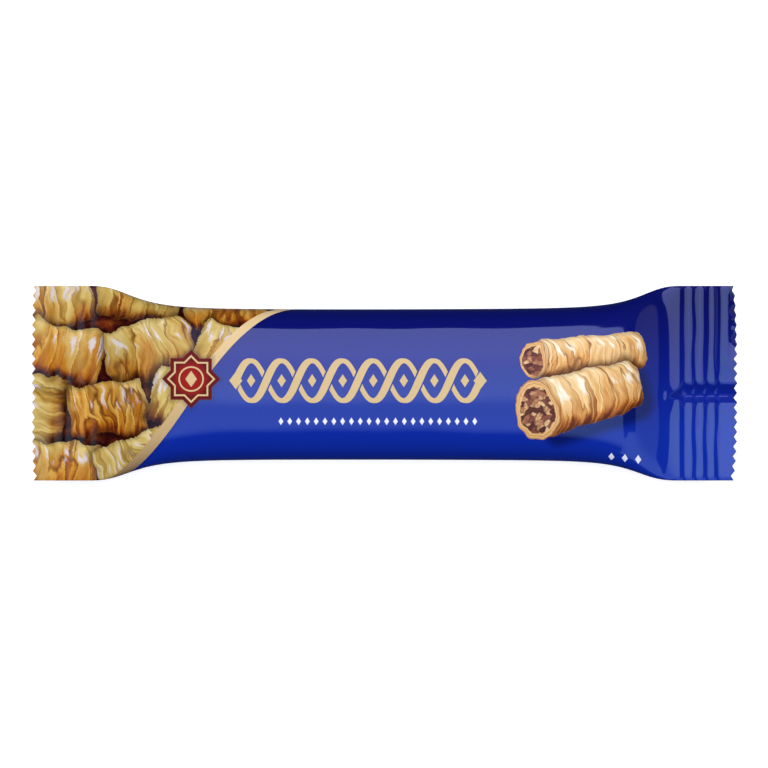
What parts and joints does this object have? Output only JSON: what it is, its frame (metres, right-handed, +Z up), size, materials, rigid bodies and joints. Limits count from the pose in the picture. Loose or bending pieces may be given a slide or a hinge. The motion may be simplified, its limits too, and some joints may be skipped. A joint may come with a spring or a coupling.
{
  "type": "flow-wrapped snack bar pack",
  "caption": "Sealed pillow pack of printed film round a pastry bar, crimped flat at both ends with ribs and toothed edges, with a folded lap seal underneath.",
  "frame": {"origin": "on the surface that the pack rests on, below the middle of its length and width", "axes": "+X along the pack, away from the end with the golden picture field; +Y across the pack; +Z up through its crown"},
  "size_m": [0.184, 0.0508, 0.0208],
  "materials": {
    "printed_film": "gloss film with deep blue, pale gold and golden brown print"
  },
  "bodies": {
    "root": {"flow_wrap_pack": "printed_film"}
  },
  "joints": []
}
